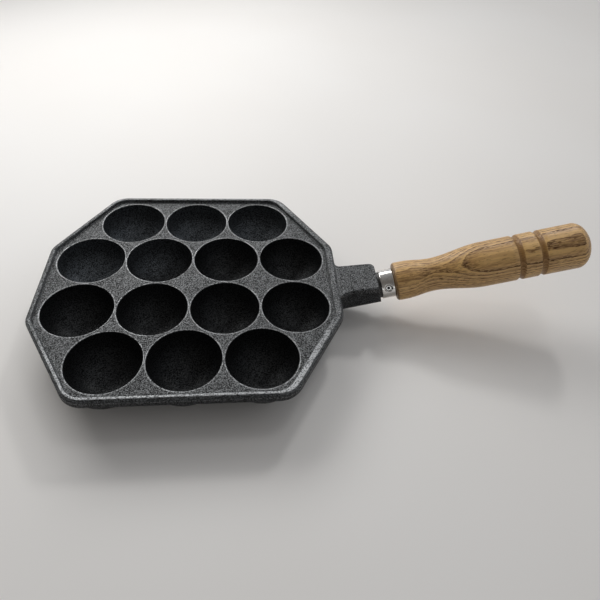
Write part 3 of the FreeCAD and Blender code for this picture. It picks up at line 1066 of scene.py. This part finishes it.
@dataclass
class FerruleNail:
    """Small nail whose head sits in the sleeve's dish."""

    handle: HandleLayout
    radius: float = 1.15 * MM
    foot: float = 4.6 * MM
    head_top: float = 8.62 * MM
    head_radius: float = 1.75 * MM
    head_thick: float = 0.6 * MM
    edge: float = 0.55 * MM
    hollow_radius: float = 0.95 * MM
    hollow_depth: float = 0.35 * MM
    hollow_floor: float = 0.6
    steps_round: int = 48
    steps_edge: int = 6

    def build(self, material: Material) -> None:
        """Make the nail, standing along the pin's axis.

        Args:
            material: Its finish.
        """
        neck = self.head_top - self.head_thick
        centre = (self.head_top - self.edge, self.head_radius - self.edge)
        floor = self.head_top - self.hollow_depth
        points = [(self.foot, 0.0), (self.foot, self.radius)]
        points += [(neck, self.radius), (neck, self.head_radius)]
        points += arc_points(centre, self.edge, 90, 0, self.steps_edge)
        points.append((self.head_top, self.hollow_radius))
        points += [(floor, self.hollow_radius * self.hollow_floor), (floor, 0.0)]
        bm = spin_outline(points, self.steps_round)
        stand = Matrix.Rotation(-math.pi / 2, 4, "Y")
        piece = finish_piece(bm, "ferrule_nail", self.handle.pin_placing @ stand)
        add_piece(piece, material, "ferrule_pin")


@dataclass
class Grip:
    """Turned grip: shoulder, waist, swell with two grooves, and a domed end."""

    handle: HandleLayout
    length: float = 120.78 * MM
    shoulder_radius: float = 12.2 * MM
    shoulder_length: float = 6.0 * MM
    shoulder_round: float = 2.0 * MM
    waist_radius: float = 10.45 * MM
    waist_at: float = 24.5 * MM
    swell_radius: float = 14.15 * MM
    swell_at: float = 56.0 * MM
    dome_length: float = 8.5 * MM
    first_groove: float = 76.7 * MM
    groove_spacing: float = 13.2 * MM
    groove_count: int = 2
    groove_half: float = 2.0 * MM
    groove_soft: float = 1.03
    groove_depth: float = 1.0 * MM
    groove_power: float = 1.15
    sharp: float = 50.0
    steps_round: int = 192
    steps_shoulder: int = 10
    steps_band: int = 3
    steps_waist: int = 20
    steps_swell: int = 30
    steps_groove: int = 16
    steps_land: int = 6
    steps_end: int = 8
    steps_dome: int = 24

    def groove(self, middle: float) -> Outline:
        """Draw a round-bottomed groove cut into the swell, with softened edges.

        Args:
            middle: Its place along the handle.

        Returns:
            Its points, from one edge to the other.
        """
        points = []
        for i in range(self.steps_groove + 1):
            t = 2 * i / self.steps_groove - 1
            depth = self.groove_depth * (1 - t * t) ** self.groove_power
            along = middle + self.groove_soft * self.groove_half * t
            points.append((along, self.swell_radius - depth))
        return points

    def outline(self) -> Outline:
        """Draw the grip's profile.

        Returns:
            The points from the bottom of its bore to the pole of its dome.
        """
        h = self.handle
        start = h.grip_start
        tenon = h.ferrule_radius - h.ferrule_wall
        soft = self.shoulder_round
        corner = (start + soft, self.shoulder_radius - soft)
        dome_start = start + self.length - self.dome_length
        points = [(h.bolt_bore_end, 0.0), (h.bolt_bore_end, h.bolt_radius)]
        points += [(0.0, h.bolt_radius), (0.0, tenon), (start, tenon)]
        points += arc_points(corner, soft, 180, 90, self.steps_shoulder)
        band_end = (start + self.shoulder_length, self.shoulder_radius)
        points += run(points[-1], band_end, self.steps_band)
        waist = (start + self.waist_at, self.waist_radius)
        points += run(points[-1], waist, self.steps_waist, eased=True)
        swell = (start + self.swell_at, self.swell_radius)
        points += run(points[-1], swell, self.steps_swell, eased=True)
        for i in range(self.groove_count):
            groove = self.groove(start + self.first_groove + i * self.groove_spacing)
            points += run(points[-1], groove[0], self.steps_land) + groove[1:]
        points += run(points[-1], (dome_start, self.swell_radius), self.steps_end)
        for i in range(1, self.steps_dome + 1):
            angle = math.radians(90 * i / self.steps_dome)
            along = dome_start + self.dome_length * math.sin(angle)
            points.append((along, self.swell_radius * math.cos(angle)))
        return points

    def build(self, material: Material) -> None:
        """Make the grip.

        Args:
            material: Its finish.
        """
        bm = spin_outline(self.outline(), self.steps_round)
        piece = finish_piece(bm, "turned_grip", self.handle.placing, self.sharp)
        add_piece(piece, material, "wooden_grip")


# ---- Studio ----
@dataclass(frozen=True)
class Lamp:
    """One soft panel of light that hangs in a direction from the object."""

    name: str
    azimuth: float
    elevation: float
    distance: float
    size: tuple[float, float]
    radiance: float
    colour: tuple[float, float, float] = (1.0, 0.99, 0.975)

    def build(self, target: Vector) -> None:
        """Hang the panel.

        Args:
            target: The point that it faces and is placed from.
        """
        light = bpy.data.lights.new(self.name, "AREA")
        light.shape = "RECTANGLE"
        light.size, light.size_y = self.size
        light.energy = math.pi * self.size[0] * self.size[1] * self.radiance
        light.color = self.colour
        azimuth = math.radians(self.azimuth)
        elevation = math.radians(self.elevation)
        level = math.cos(elevation)
        direction = Vector((level * math.cos(azimuth), level * math.sin(azimuth),
                            math.sin(elevation)))
        lamp = bpy.data.objects.new(self.name, light)
        lamp.location = target + direction * self.distance
        lamp.rotation_euler = direction.to_track_quat("Z", "Y").to_euler()
        bpy.context.scene.collection.objects.link(lamp)


@dataclass(frozen=True)
class Studio:
    """Pale floor under a window and two ceiling panels, in a room that is dim in front."""

    lamps: tuple[Lamp, ...] = (
        Lamp("window", 120.0, 36.0, 0.70, (0.68, 0.28), 5.0),
        Lamp("back_panel", 66.0, 40.0, 2.0, (0.20, 0.20), 43.0),
        Lamp("top_panel", 40.0, 66.0, 2.0, (0.40, 0.40), 4.0),
    )
    floor_size: float = 8.0
    floor_parts: int = 8
    floor_colour: Colour = (0.80, 0.785, 0.765, 1.0)
    floor_pale: Colour = (0.82, 0.81, 0.795, 1.0)
    clouds: Pattern = Pattern(0.25)
    pale_clouds: Ramp = Ramp(0.3, 0.7)
    floor_rough: float = 0.5
    floor_bright: float = 0.4
    room: Colour = (0.195, 0.188, 0.180, 1.0)
    ceiling: Colour = (0.140, 0.128, 0.116, 1.0)
    ceiling_height: Ramp = Ramp(0.55, 0.80)
    bright: Colour = (0.53, 0.54, 0.56, 1.0)
    bright_side: tuple[float, float, float] = (0.85, 0.53, 0.0)
    bright_turn: Ramp = Ramp(-0.6, 0.9)
    backdrop: Colour = (0.90, 0.90, 0.90, 1.0)
    backdrop_height: Ramp = Ramp(0.12, 0.30)

    def build_floor(self) -> None:
        """Lay the floor."""
        bm = bmesh.new()
        parts = self.floor_parts
        bmesh.ops.create_grid(bm, x_segments=parts, y_segments=parts, size=self.floor_size / 2)
        floor = finish_piece(bm, "studio_floor", Matrix.Identity(4))
        shader = Shader("pale_floor")
        cloud = shader.fade(shader.noise(shader.place(), self.clouds), self.pale_clouds)
        colour = shader.mix(cloud, self.floor_colour, self.floor_pale)
        dress(floor, shader.finish(Base_Color=colour, Roughness=self.floor_rough,
                                   Specular_IOR_Level=self.floor_bright))

    def build_surround(self) -> None:
        """Light the scene from all round, least from in front.

        The camera and the mirrors also see a pale band low in the room, which lights nothing.
        """
        world = bpy.data.worlds.new("surround")
        world.use_nodes = True
        nodes = NodeTools(world.node_tree)
        direction = nodes.add("TexCoord", {}).outputs["Generated"]
        height = nodes.split(direction)[2]
        towards = nodes.dot(direction, self.bright_side)
        dim = nodes.mix(nodes.fade(height, self.ceiling_height), self.room, self.ceiling)
        around = nodes.mix(nodes.fade(towards, self.bright_turn), dim, self.bright)
        banded = nodes.mix(nodes.fade(height, self.backdrop_height), self.backdrop, around)
        lit, seen = (nodes.add("Background", {"Color": colour}).outputs["Background"]
                     for colour in (around, banded))
        ray = nodes.add("LightPath", {}).outputs
        sees = nodes.most(ray["Is Camera Ray"], ray["Is Glossy Ray"], ray["Is Transmission Ray"])
        chosen = nodes.add("MixShader", {0: sees, 1: lit, 2: seen}).outputs["Shader"]
        nodes.add("OutputWorld", {"Surface": chosen})
        bpy.context.scene.world = world

    def build(self, target: Vector) -> None:
        """Build the studio.

        Args:
            target: The point that the lamps face.
        """
        self.build_floor()
        for lamp in self.lamps:
            lamp.build(target)
        self.build_surround()
        log.info("studio: floor, surround and %d lamps", len(self.lamps))


@dataclass(frozen=True)
class Viewpoint:
    """The camera, above the near left part of the plate and looking down across it."""

    location: Vector = field(default_factory=lambda: Vector((-43.482, -223.490, 248.374)) * MM)
    turn: Euler = field(default_factory=lambda: Euler((0.75088, -0.06462, -0.08114)))
    lens: float = 30.326
    sensor: float = 36.0
    nearest: float = 10.0 * MM

    def build(self) -> None:
        """Set up the camera."""
        camera = bpy.data.cameras.new("camera")
        camera.lens = self.lens
        camera.sensor_width = self.sensor
        camera.sensor_fit = "HORIZONTAL"
        camera.clip_start = self.nearest
        holder = bpy.data.objects.new("camera", camera)
        holder.location = self.location
        holder.rotation_euler = self.turn
        bpy.context.scene.collection.objects.link(holder)
        bpy.context.scene.camera = holder


# ---- The whole pan ----
def main() -> None:
    """Build the pieces in order."""
    logging.basicConfig(level=logging.INFO, format="%(name)s: %(message)s")
    bpy.context.scene.view_settings.view_transform = "Standard"
    plate = PlateLayout()
    handle = HandleLayout()
    Viewpoint().build()
    Studio().build(Vector((0.0, 0.0, plate.web_top)))

    dress_node("plate_casting", CastIron(plate).material())
    dress_node("hanger_bolt", DullZinc().material())
    Ferrule(handle).build(PlatedSteel(handle).material())
    FerruleNail(handle).build(NailSteel(handle).material())
    Grip(handle).build(TurnedAsh(handle).material())


if __name__ == "__main__":
    main()
